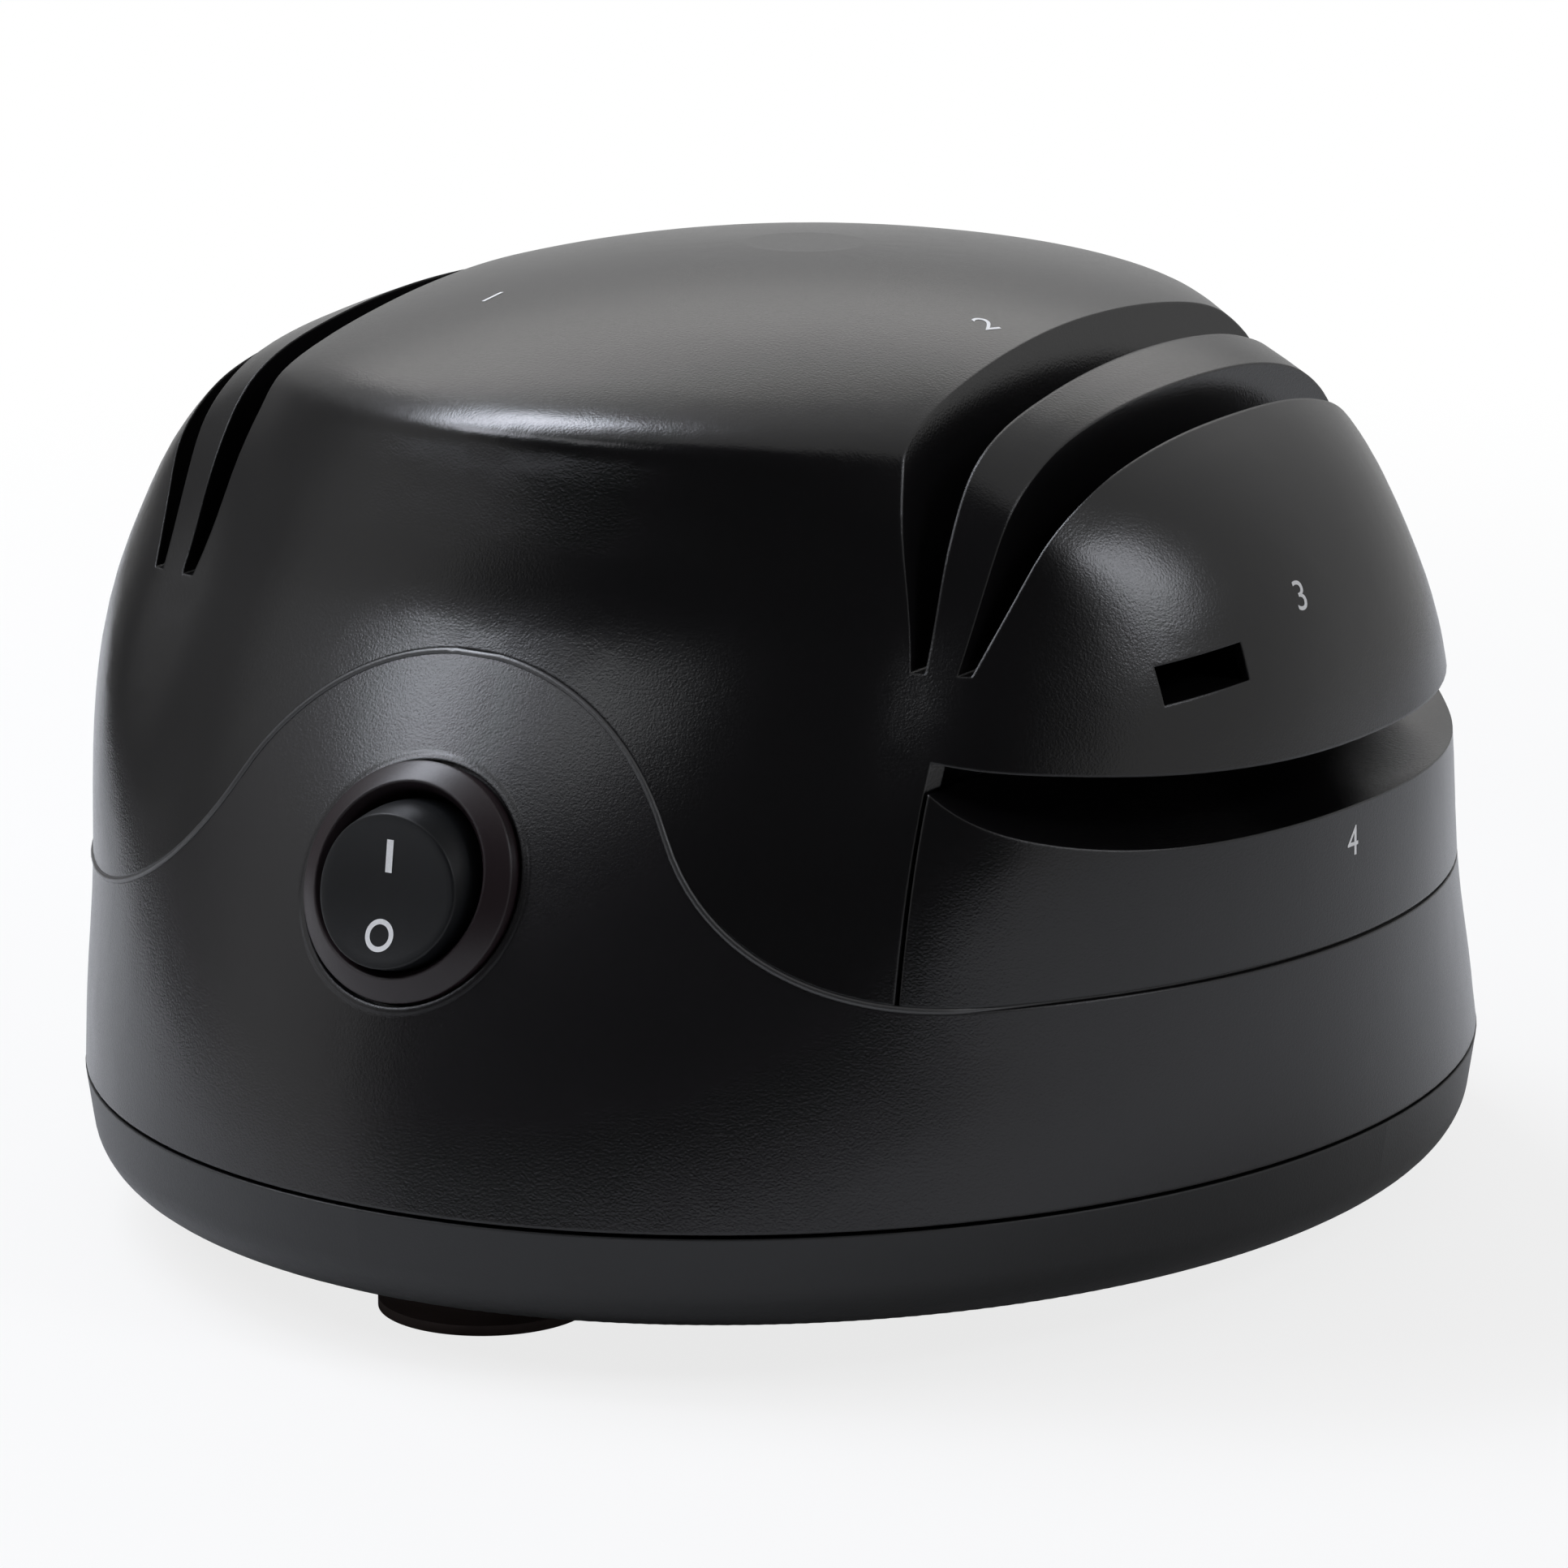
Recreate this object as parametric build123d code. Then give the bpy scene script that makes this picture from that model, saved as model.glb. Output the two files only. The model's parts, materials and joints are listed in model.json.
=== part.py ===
from build123d import *
import math
import os

# Electric knife and tool sharpener, millimetres, +Z up, -Y towards the user.
# The origin lies on the table, under the middle of the base seam ellipse.

# Outer form, measured upwards from the base seam
foot_drop = 5.0
base_depth = 10.0
crown_rise = 80.2
seam_half_width = 68.7
seam_half_depth = 76.3
top_half_depth = 47.8
pod_rise = 53.6
pod_belly = 0.45
pod_blend = 0.15
lean = 3.7
lean_rise = 45.0
apex_y = 3.2
apex_power = 8.0
crown_radius = 156.0
brow_blend = 2.0
shoulder_power = 5.4
dome_squareness = 0.36
dome_fade = 13.0
dome_start_x = 38.0
dome_span_x = 12.0
dome_start_rise = 15.0
dome_span_rise = 35.0
section_points = 40
section_count = 24
crown_flat = 0.9985

# Mouldings
wall = 2.5
seam_gap = 0.4
base_taper = 8.0
base_edge_radius = 5.5
base_floor = 2.5
lip_thickness = 1.5
lip_height = 3.0
lip_gap = 0.25
lip_setback = 2.0

# Wavy seam between the lower housing and the upper cover
wave_side_rise = 20.0
wave_crest_rise = 49.0
wave_crest_radius = 28.0
wave_half_width = 51.0

# Knife slots, in pairs on both sides of each wheel
wheel_x = 44.0
wheel_radius = 24.0
wheel_thickness = 3.0
wheel_pocket_gap = 1.5
axis_y = -2.0
axis_rise = 30.0
slot_floor_rise = 50.0
divider_foot = 3.0
divider_draft = 3.0
inner_slot_width = 1.4
outer_slot_width = 1.25
slot_wall_angle = 15.0
block_floor = 4.0
block_inner_x = 33.0
block_outer_x = 51.0

# Scissors guide and its slot, on the right-hand side
guide_x = 45.1
scoop_x = 66.0
scoop_rise = 33.3
scoop_radius = 35.0
rim_rise = 42.6
rim_slope = 7.9
web_x = 46.6
web_thickness = 2.0
web_hole_gap = 1.5
guide_post_x = 54.0
guide_post_front_y = -24.0
guide_post_rear_y = 17.0

# Screwdriver slot in the right-hand dome
driver_slot_length = 10.2
driver_slot_height = 3.5
driver_slot_x = 61.3
driver_slot_y = -26.3
driver_slot_rise = 48.9
driver_slot_turn = -27.0
driver_slot_roll = 6.0
driver_slot_depth = 17.0

# Posts and screws that hold the case together
post_front_x = 28.0
post_front_y = -39.5
post_rear_x = 20.0
post_rear_y = 36.0
post_radius = 4.0
boss_radius = 4.5
screw_radius = 1.5
screw_clearance = 0.3
screw_bite = 10.0
head_radius = 3.2
head_height = 2.4
head_recess = 1.2
small_screw_radius = 1.25
small_head_radius = 2.4
small_head_height = 1.6

# Suction feet
foot_y_front = -55.0
foot_x_rear = 36.0
foot_y_rear = 40.0
foot_lip_radius = 10.4
foot_neck_radius = 5.2
foot_stem_radius = 3.0
foot_bead_radius = 4.0
foot_bead_height = 1.6
foot_lip = 1.0
foot_cup = 1.6

# Round rocker switch
switch_y = -67.3
switch_rise = 29.5
switch_tilt = 21.7
bezel_radius = 11.5
bezel_height = 2.2
bezel_flare = 0.9
switch_opening = 9.6
barrel_radius = 9.9
barrel_length = 15.0
barrel_bore = 8.5
barrel_floor = 7.0
cutout_gap = 0.1
pad_margin = 1.0
pad_thickness = 4.0
rocker_radius = 7.9
rocker_skirt = 7.2
rocker_end_rise = 4.7
rocker_mid_rise = 2.8
rocker_depth = 5.5
rocker_throw = 18.0
pivot_depth = 2.0
pivot_radius = 1.25
pivot_reach = 9.3
pivot_gap = 0.05
terminal_width = 6.3
terminal_thickness = 0.8
terminal_length = 8.0
terminal_pitch = 9.0

# Cord inlet at the back
gland_rise = 9.5
gland_radius = 4.5
gland_flange_radius = 6.2
gland_flange = 2.0
gland_bore = 2.6
gland_length = 11.0
gland_seat_y = 70.0

# Motor
can_radius = 20.0
can_wall = 1.5
can_length = 50.0
cap_thickness = 3.0
cap_boss_radius = 8.0
cap_boss_length = 5.5
bearing_radius = 5.0
shaft_radius = 2.5
shaft_length = 106.0
running_gap = 0.05
magnet_thickness = 3.3
magnet_length = 30.0
magnet_span = 120.0
air_gap = 0.5
core_length = 26.0
core_poles = 7
core_slot_width = 2.4
core_slot_neck = 7.5
winding_radius = 12.0
winding_length = 4.5
commutator_radius = 6.0
commutator_length = 5.5
commutator_gap = 1.0
brush_width = 4.0
brush_reach = 6.0
brush_gap = 0.3
brush_fit = 0.1
holder_wall = 1.0
holder_start = 8.0
holder_reach = 8.0

# Wheel mountings
hub_boss_radius = 6.0
hub_boss_length = 5.0
hub_flange_radius = 11.0
hub_flange = 3.0
hub_spigot_radius = 5.0
washer_radius = 8.0
washer_thickness = 2.0
nut_flats = 8.0
nut_height = 4.0

# Motor mounting
saddle_x = 17.0
saddle_thickness = 6.0
ring_thickness = 1.6
strap_thickness = 2.2
ear_reach = 9.0
ear_height = 3.0
ear_screw = 5.0
cradle_plate = 3.0
cradle_margin = 7.0
cradle_screw_y = 22.0

# Control board
board_length = 40.0
board_width = 16.0
board_thickness = 1.6
board_y = -44.0
board_stand = 3.0
board_screw_x = 17.0
board_boss_radius = 3.0
rectifier_length = 14.0
rectifier_width = 8.0
rectifier_height = 9.0

# Worked-out levels
seam_z = foot_drop + base_depth
floor_z = foot_drop + base_floor
axis_z = seam_z + axis_rise
slot_floor_z = seam_z + slot_floor_rise
block_z = slot_floor_z - block_floor
reach = 2 * (seam_half_width + seam_half_depth)
pocket_radius = wheel_radius + wheel_pocket_gap
can_bore = can_radius - can_wall
core_radius = can_bore - magnet_thickness - air_gap
ring_radius = can_radius + ring_thickness
strap_radius = ring_radius + strap_thickness
ear_y = strap_radius + ear_screw
cradle_half_y = strap_radius + ear_reach
cap_face_x = can_length / 2
cap_end_x = cap_face_x + cap_thickness
wheel_face = wheel_thickness / 2
divider_half = divider_foot / 2
inner_slot_x = wheel_x - divider_half - inner_slot_width
outer_slot_x = wheel_x + divider_half + outer_slot_width
board_z = floor_z + board_stand

os.makedirs("parts", exist_ok=True)


def save(shape, node):
    export_step(shape, "parts/" + node + ".step")


# Round bar on the motor axis between two stations along X
def rod(radius, start, end):
    bar = Plane(origin=(start, axis_y, axis_z), x_dir=(0, 1, 0), z_dir=(1, 0, 0)) * Circle(radius)
    return extrude(bar, end - start)


# Upright round post between two heights
def post(radius, x, y, bottom, top):
    return extrude(Pos(x, y, bottom) * Circle(radius), top - bottom)


# Closed XZ outline carried right through the body along Y
def prism(outline):
    return extrude(make_face(Plane.XZ * outline), reach, both=True)


# Block between two X planes and two heights, right through along Y
def slab(x0, x1, z0, z1):
    return prism(Polyline((x0, z0), (x1, z0), (x1, z1), (x0, z1), close=True))


# A piece drawn on the right, or its mirror image on the left
def on_side(body, side):
    return body if side > 0 else mirror(body, Plane.YZ)


# Smooth step from 0 to 1
def ease(start, span, value):
    part = min(max((value - start) / span, 0.0), 1.0)
    return part**2 * (3 - 2 * part)


# The smaller of two half-depths, rounded where they meet at the brow
def soft_least(face, crown):
    return (face + crown - math.hypot(face - crown, brow_blend)) / 2


# Outer form: superellipse sections, lofted upwards from the base seam.
# The front and rear faces run up to a flat crown arc, and the domes beside the slots are squarer.
def section(rise, inset):
    top = crown_rise - inset
    height = rise / top
    pod = rise / pod_rise
    belly = (1 - pod) * (1 + pod_belly * pod)
    swell = (belly + math.hypot(belly, pod_blend)) / (1 + math.hypot(1, pod_blend))
    half_width = (seam_half_width - inset) * math.sqrt(1 - height**shoulder_power)
    half_depth = top_half_depth - inset + (seam_half_depth - top_half_depth) * swell
    face_y = -lean * math.sin(math.pi / 2 * min(rise / lean_rise, 1.0))
    centre_y = face_y + (apex_y - face_y) * height**apex_power
    crown = math.sqrt(2 * crown_radius * (top - rise))
    front = soft_least(half_depth + centre_y - face_y, crown + centre_y - apex_y)
    rear = soft_least(half_depth - centre_y + face_y, crown - centre_y + apex_y)
    squareness = dome_squareness * ease(dome_start_rise, dome_span_rise, rise) * (1 - height**dome_fade)
    points = []
    for step in range(section_points):
        angle = math.pi / 2 + 2 * math.pi * step / section_points
        across, along = math.cos(angle), math.sin(angle)
        x = half_width * across
        power = 2 + squareness * ease(dome_start_x, dome_span_x, abs(x))
        depth = (front if along < 0 else rear) * (1 - abs(across) ** power) ** (1 / power)
        points.append((x, centre_y + math.copysign(depth, along), seam_z + rise))
    return make_face(Spline(*points, periodic=True))


def envelope(inset):
    top = crown_rise - inset
    rises = [top * math.sin(math.pi / 2 * step / section_count) for step in range(section_count)]
    return loft([section(rise, inset) for rise in rises + [top * crown_flat]])


outer = envelope(0)
inner = envelope(wall)
shell = outer - inner


# Wave: a crest arc over the switch that blends into the level side seam
def above_wave(lift):
    side = seam_z + wave_side_rise + lift
    crest = seam_z + wave_crest_rise + lift
    height = crest - side
    both_radii = (height**2 + wave_half_width**2) / (2 * height)
    blend_radius = both_radii - wave_crest_radius
    crest_centre = Vector(0, crest - wave_crest_radius)
    blend_centre = Vector(wave_half_width, side + blend_radius)
    join = crest_centre + (blend_centre - crest_centre).normalized() * wave_crest_radius
    end = Vector(wave_half_width, side)
    middle = ((join - blend_centre) + (end - blend_centre)).normalized() * blend_radius
    bend = blend_centre + middle
    outline = [
        ThreePointArc((-join.X, join.Y), (0, crest), (join.X, join.Y)),
        ThreePointArc((join.X, join.Y), (bend.X, bend.Y), (end.X, end.Y)),
        Polyline((end.X, end.Y), (reach, side), (reach, reach)),
        Polyline((reach, reach), (-reach, reach), (-reach, side), (-end.X, end.Y)),
        ThreePointArc((-end.X, end.Y), (-bend.X, bend.Y), (-join.X, join.Y)),
    ]
    return prism(Curve() + outline)


switch_plane = Plane(
    origin=(0, switch_y, seam_z + switch_rise),
    x_dir=(1, 0, 0),
    z_dir=(0, -math.cos(math.radians(switch_tilt)), math.sin(math.radians(switch_tilt))),
)
gland_plane = Plane(origin=(0, gland_seat_y, seam_z + gland_rise), x_dir=(-1, 0, 0), z_dir=(0, 1, 0))


def on_plane(plane, radius, start, end):
    return extrude(plane.offset(start) * Circle(radius), end - start)


def lower_housing():
    body = shell - above_wave(0) - slab(-reach, reach, 0, seam_z + seam_gap)
    pad_radius = bezel_radius + pad_margin
    pad = on_plane(switch_plane, pad_radius, -bezel_height - pad_thickness, -bezel_height)
    body = body + (pad & outer)
    body = body - on_plane(switch_plane, pad_radius, -bezel_height, wall * 4)
    body = body - on_plane(switch_plane, barrel_radius + cutout_gap, -barrel_length, 0)
    body = body - on_plane(gland_plane, gland_flange_radius + cutout_gap, 0, wall * 4)
    return body - on_plane(gland_plane, gland_radius, -gland_length, gland_flange)


# The two V slots beside the right-hand wheel
def knife_slots():
    rise = crown_rise - slot_floor_rise + wall
    top = slot_floor_z + rise
    flare = rise * math.tan(math.radians(slot_wall_angle))
    draft = rise * math.tan(math.radians(divider_draft))
    face_in = wheel_x - divider_half
    face_out = wheel_x + divider_half
    inner_slot = Polyline(
        (inner_slot_x, slot_floor_z),
        (face_in, slot_floor_z),
        (face_in - draft, top),
        (inner_slot_x - flare, top),
        close=True,
    )
    outer_slot = Polyline(
        (face_out, slot_floor_z),
        (outer_slot_x, slot_floor_z),
        (outer_slot_x + flare, top),
        (face_out + draft, top),
        close=True,
    )
    return prism(inner_slot) + prism(outer_slot)


# Everything on the right below the rim of the dome
def scissors_room():
    drop = (reach - guide_x) * math.tan(math.radians(rim_slope))
    rim_z = seam_z + rim_rise
    return prism(Polyline((guide_x, 0), (reach, 0), (reach, rim_z - drop), (guide_x, rim_z), close=True))


def driver_slot():
    turn = math.radians(driver_slot_turn)
    outward = Plane(
        origin=(driver_slot_x, driver_slot_y, seam_z + driver_slot_rise),
        x_dir=(-math.sin(turn), math.cos(turn), 0),
        z_dir=(math.cos(turn), math.sin(turn), 0),
    )
    mouth = Rot(0, 0, driver_slot_roll) * Rectangle(driver_slot_length, driver_slot_height)
    return extrude(outward.offset(-driver_slot_depth) * mouth, driver_slot_depth + 4 * wall)


case_posts = [(side * post_front_x, post_front_y) for side in (-1, 1)]
case_posts += [(side * post_rear_x, post_rear_y) for side in (-1, 1)]
guide_posts = [(guide_post_x, guide_post_front_y), (guide_post_x, guide_post_rear_y)]


def upper_cover():
    body = shell & above_wave(seam_gap)
    for side in (-1, 1):
        x0, x1 = sorted((side * block_inner_x, side * block_outer_x))
        body = body + (outer & slab(x0, x1, block_z, reach))
    body = body - scissors_room()
    for x, y in case_posts:
        body = body + (post(post_radius, x, y, seam_z, seam_z + crown_rise) & outer)
        body = body - post(screw_radius, x, y, seam_z, seam_z + screw_bite)
    slots = knife_slots()
    pocket = rod(pocket_radius, inner_slot_x, outer_slot_x)
    for cut in (slots, pocket):
        body = body - cut - mirror(cut, Plane.YZ)
    return body - driver_slot()


# Room above the hollowed scissors rest
def scoop():
    level = seam_z + scoop_rise
    span = scoop_x - guide_x
    start = level + scoop_radius - math.sqrt(scoop_radius**2 - span**2)
    half_turn = math.asin(span / scoop_radius) / 2
    rise = scoop_radius * (1 - math.cos(half_turn))
    bend = (scoop_x - scoop_radius * math.sin(half_turn), level + rise)
    outline = [
        ThreePointArc((guide_x, start), bend, (scoop_x, level)),
        Polyline((scoop_x, level), (reach, level), (reach, reach)),
        Polyline((reach, reach), (guide_x - wall, reach), (guide_x - wall, start), (guide_x, start)),
    ]
    return prism(Curve() + outline)


def scissors_guide():
    body = outer & above_wave(seam_gap) & slab(guide_x + seam_gap, reach, 0, reach)
    body = body - scoop()
    rest_z = seam_z + scoop_rise - wall
    body = body - (inner & slab(web_x + web_thickness, reach, 0, rest_z))
    body = body - rod(pocket_radius, inner_slot_x, web_x)
    body = body - rod(washer_radius + web_hole_gap, inner_slot_x, shaft_length / 2 + web_hole_gap)
    for x, y in guide_posts:
        body = body + post(post_radius, x, y, seam_z, rest_z + wall / 2)
        body = body - post(screw_radius, x, y, seam_z, seam_z + screw_bite)
    return body


feet = {
    "suction_foot_front": (0, foot_y_front),
    "suction_foot_rear_left": (-foot_x_rear, foot_y_rear),
    "suction_foot_rear_right": (foot_x_rear, foot_y_rear),
}
corners = [(side, end) for side in (-1, 1) for end in (-1, 1)]
cradle_screw_places = [(side * saddle_x, axis_y + end * cradle_screw_y) for side, end in corners]
strap_screw_places = [(side * saddle_x, axis_y + end * ear_y) for side, end in corners]
board_screw_places = [(side * board_screw_x, board_y) for side in (-1, 1)]


def bottom_cover():
    rim = Pos(0, 0, seam_z) * Ellipse(seam_half_width, seam_half_depth)
    body = extrude(rim, -base_depth, taper=base_taper)
    body = fillet(body.edges().group_by(Axis.Z)[0], base_edge_radius)
    lip_x = seam_half_width - wall - lip_gap
    lip_y = seam_half_depth - wall - lip_setback
    body = body + extrude(Pos(0, 0, seam_z) * Ellipse(lip_x, lip_y), lip_height)
    room = Ellipse(lip_x - lip_thickness, lip_y - lip_thickness)
    body = body - extrude(Pos(0, 0, floor_z) * room, crown_rise)
    for x, y in case_posts + guide_posts:
        body = body + post(boss_radius, x, y, foot_drop, seam_z)
        body = body - post(screw_radius + screw_clearance, x, y, 0, seam_z)
        body = body - post(head_radius + screw_clearance, x, y, 0, foot_drop + head_recess + head_height)
    for x, y in cradle_screw_places:
        body = body - post(small_screw_radius, x, y, 0, floor_z)
        body = body - post(small_head_radius + screw_clearance, x, y, 0, foot_drop + head_recess)
    for x, y in board_screw_places:
        body = body + post(board_boss_radius, x, y, floor_z, board_z)
        body = body - post(small_screw_radius, x, y, floor_z, board_z)
    for x, y in feet.values():
        body = body - post(foot_stem_radius, x, y, 0, floor_z)
    return body


def suction_foot(x, y):
    bead_z = floor_z + foot_bead_height
    cup_edge = foot_lip_radius - foot_lip
    cup_radius = (cup_edge**2 + foot_cup**2) / (2 * foot_cup)
    outline = [
        Polyline(
            (0, bead_z),
            (foot_bead_radius, bead_z),
            (foot_bead_radius, floor_z),
            (foot_stem_radius, floor_z),
            (foot_stem_radius, foot_drop),
            (foot_neck_radius, foot_drop),
            (foot_neck_radius, foot_drop - foot_lip),
        ),
        ThreePointArc(
            (foot_neck_radius, foot_drop - foot_lip),
            ((foot_neck_radius + foot_lip_radius) / 2, foot_drop / 2 - foot_lip / 4),
            (foot_lip_radius, foot_lip),
        ),
        Polyline((foot_lip_radius, foot_lip), (foot_lip_radius, 0), (cup_edge, 0)),
        RadiusArc((cup_edge, 0), (0, foot_cup), -cup_radius),
        Line((0, foot_cup), (0, bead_z)),
    ]
    cup = revolve(make_face(Plane.XZ * (Curve() + outline)), Axis.Z)
    return Pos(x, y, 0) * cup


# Switch
def switch_body():
    outline = Polyline(
        (0, -barrel_length - bezel_height),
        (barrel_radius, -barrel_length - bezel_height),
        (barrel_radius, -bezel_height),
        (bezel_radius, -bezel_height),
        (bezel_radius - bezel_flare, 0),
        (switch_opening, 0),
        (barrel_bore, -bezel_height),
        (barrel_bore, -barrel_length - bezel_height + barrel_floor),
        (0, -barrel_length - bezel_height + barrel_floor),
        close=True,
    )
    body = revolve(make_face(Plane.XZ * outline), Axis.Z)
    body = body - pivot_pin(pivot_radius + pivot_gap, pivot_reach + pivot_gap)
    return switch_plane * body


def pivot_pin(radius, half_length):
    return Pos(0, 0, -pivot_depth) * Rot(0, 90, 0) * Cylinder(radius, 2 * half_length)


def switch_rocker():
    head = Pos(0, 0, -pivot_depth) * extrude(Circle(rocker_radius), pivot_depth + 2 * rocker_end_rise)
    skirt = Pos(0, 0, -rocker_depth) * extrude(Circle(rocker_skirt), rocker_depth - pivot_depth)
    half = rocker_radius + pivot_gap
    faces = Polyline(
        (-half, rocker_end_rise),
        (0, rocker_mid_rise),
        (half, rocker_end_rise),
        (half, -rocker_depth),
        (-half, -rocker_depth),
        close=True,
    )
    block = extrude(make_face(Plane.YZ * faces), rocker_radius * 2, both=True)
    body = ((head + skirt) & block) + pivot_pin(pivot_radius, pivot_reach)
    rest = Pos(0, 0, -pivot_depth) * Rot(rocker_throw / 2, 0, 0) * Pos(0, 0, pivot_depth)
    return switch_plane * rest * body


def switch_terminals():
    blades = []
    for side in (-1, 1):
        blade = Box(terminal_width, terminal_thickness, terminal_length)
        depth = -barrel_length - bezel_height - terminal_length / 2
        blades.append(switch_plane * Pos(0, side * terminal_pitch / 2, depth) * blade)
    return Compound(children=blades)


def cord_gland():
    body = on_plane(gland_plane, gland_radius, -gland_length, 0)
    body = body + on_plane(gland_plane, gland_flange_radius, 0, gland_flange)
    return body - on_plane(gland_plane, gland_bore, -gland_length, gland_flange)


# Motor, on the X axis between the two wheels
def motor_can():
    half = can_length / 2
    return rod(can_radius, -half, half) - rod(can_bore, -half, half)


def motor_cap(side):
    end = cap_end_x + cap_boss_length
    body = rod(can_radius, cap_face_x, cap_end_x) + rod(cap_boss_radius, cap_end_x, end)
    return on_side(body - rod(bearing_radius, cap_face_x, end), side)


def bearing(side):
    end = cap_end_x + cap_boss_length
    body = rod(bearing_radius, cap_face_x, end) - rod(shaft_radius + running_gap, cap_face_x, end)
    return on_side(body, side)


def motor_magnets():
    half = magnet_length / 2
    ring = rod(can_bore, -half, half) - rod(can_bore - magnet_thickness, -half, half)
    spread = 2 * can_bore * math.tan(math.radians(magnet_span / 2))
    top = axis_z + 2 * can_bore
    wedge = Polyline((axis_y, axis_z), (axis_y + spread, top), (axis_y - spread, top), close=True)
    wedge = extrude(make_face(Plane.YZ * wedge), magnet_length, both=True)
    upper = ring & wedge
    lower = mirror(upper, Plane.XY.offset(axis_z))
    return Compound(children=[upper, lower])


def armature_core():
    half = core_length / 2
    body = rod(core_radius, -half, half) - rod(shaft_radius, -half, half)
    slot = Pos(0, 0, core_slot_neck + core_radius) * Box(2 * core_length, core_slot_width, 2 * core_radius)
    for step in range(core_poles):
        body = body - Pos(0, axis_y, axis_z) * Rot(360 * step / core_poles, 0, 0) * slot
    return body


def armature_winding():
    start = core_length / 2
    end = start + winding_length
    turns = rod(winding_radius, start, end) - rod(shaft_radius, start, end)
    return Compound(children=[turns, mirror(turns, Plane.YZ)])


commutator_x = core_length / 2 + winding_length + commutator_gap


def commutator():
    end = commutator_x + commutator_length
    return rod(commutator_radius, commutator_x, end) - rod(shaft_radius, commutator_x, end)


# Square bar pointing at the commutator from the front
def beside_commutator(width, start, length):
    middle = commutator_x + commutator_length / 2
    return Pos(middle, axis_y - start - length / 2, axis_z) * Box(width, length, width)


def both_sides(front):
    return Compound(children=[front, mirror(front, Plane.XZ.offset(-axis_y))])


def brushes():
    bar = beside_commutator(brush_width, commutator_radius + brush_gap, brush_reach)
    return both_sides(bar)


def brush_holders():
    hollow = brush_width + 2 * brush_fit
    tube = beside_commutator(hollow + 2 * holder_wall, holder_start, holder_reach)
    tube = tube - beside_commutator(hollow, holder_start, holder_reach)
    middle = commutator_x + commutator_length / 2
    foot_length = cap_face_x - middle - hollow / 2 - holder_wall
    foot = Pos(cap_face_x - foot_length / 2, axis_y - holder_start - holder_reach / 2, axis_z)
    foot = foot * Box(foot_length, holder_reach, hollow + 2 * holder_wall)
    return both_sides(tube + foot)


def motor_shaft():
    return rod(shaft_radius, -shaft_length / 2, shaft_length / 2)


# Wheels and their mountings
def wheel_hub(side):
    face = wheel_x - wheel_face
    body = rod(hub_boss_radius, face - hub_flange - hub_boss_length, face)
    body = body + rod(hub_flange_radius, face - hub_flange, face)
    body = body + rod(hub_spigot_radius, face, wheel_x + wheel_face)
    return on_side(body - rod(shaft_radius, 0, reach), side)


def grinding_wheel(side):
    body = rod(wheel_radius, wheel_x - wheel_face, wheel_x + wheel_face)
    return on_side(body - rod(hub_spigot_radius, 0, reach), side)


def wheel_washer(side):
    face = wheel_x + wheel_face
    return on_side(rod(washer_radius, face, face + washer_thickness) - rod(shaft_radius, 0, reach), side)


def wheel_nut(side):
    face = wheel_x + wheel_face + washer_thickness
    hexagon = Plane(origin=(face, axis_y, axis_z), x_dir=(0, 1, 0), z_dir=(1, 0, 0))
    body = extrude(hexagon * RegularPolygon(nut_flats / 2, 6, major_radius=False), nut_height)
    return on_side(body - rod(shaft_radius, 0, reach), side)


# Motor mounting
def upright(x, z0, z1):
    return Pos(x, axis_y, (z0 + z1) / 2) * Box(saddle_thickness, 2 * cradle_half_y, z1 - z0)


def motor_cradle():
    half_x = saddle_x + cradle_margin
    body = Pos(0, axis_y, floor_z + cradle_plate / 2) * Box(2 * half_x, 2 * cradle_half_y, cradle_plate)
    for side in (-1, 1):
        body = body + upright(side * saddle_x, floor_z, axis_z)
    for x, y in strap_screw_places:
        body = body - post(small_screw_radius, x, y, axis_z - screw_bite, axis_z)
    for x, y in cradle_screw_places:
        body = body - post(small_screw_radius, x, y, floor_z, floor_z + screw_bite)
    return body - rod(ring_radius, -reach, reach)


def motor_ring(side):
    start = saddle_x - saddle_thickness / 2
    end = start + saddle_thickness
    return on_side(rod(ring_radius, start, end) - rod(can_radius, start, end), side)


def motor_strap(side):
    start = saddle_x - saddle_thickness / 2
    body = rod(strap_radius, start, start + saddle_thickness)
    body = body + upright(saddle_x, axis_z, axis_z + ear_height)
    body = body - rod(ring_radius, -reach, reach) - slab(-reach, reach, -reach, axis_z)
    for end in (-1, 1):
        body = body - post(small_screw_radius, saddle_x, axis_y + end * ear_y, 0, reach)
    return on_side(body, side)


def control_board():
    body = Pos(0, board_y, board_z + board_thickness / 2) * Box(board_length, board_width, board_thickness)
    for x, y in board_screw_places:
        body = body - post(small_screw_radius, x, y, board_z, board_z + board_thickness)
    return body


def rectifier_block():
    middle = board_z + board_thickness + rectifier_height / 2
    return Pos(0, board_y, middle) * Box(rectifier_length, rectifier_width, rectifier_height)


# Screws, each group pointing the same way
# head_z is the plane under the pan head
def screw(x, y, head_z, shank, radius, head, height, up):
    reach_z = shank if up else -shank
    body = extrude(Pos(x, y, head_z) * Circle(radius), reach_z)
    return body + extrude(Pos(x, y, head_z) * Circle(head), -height if up else height)


def case_screws():
    seat = foot_drop + head_recess + head_height
    length = seam_z + screw_bite - seat
    group = []
    for x, y in case_posts + guide_posts:
        group.append(screw(x, y, seat, length, screw_radius, head_radius, head_height, True))
    return Compound(children=group)


def small_screws(places, head_z, shank, height, up):
    group = []
    for x, y in places:
        group.append(screw(x, y, head_z, shank, small_screw_radius, small_head_radius, height, up))
    return Compound(children=group)


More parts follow.
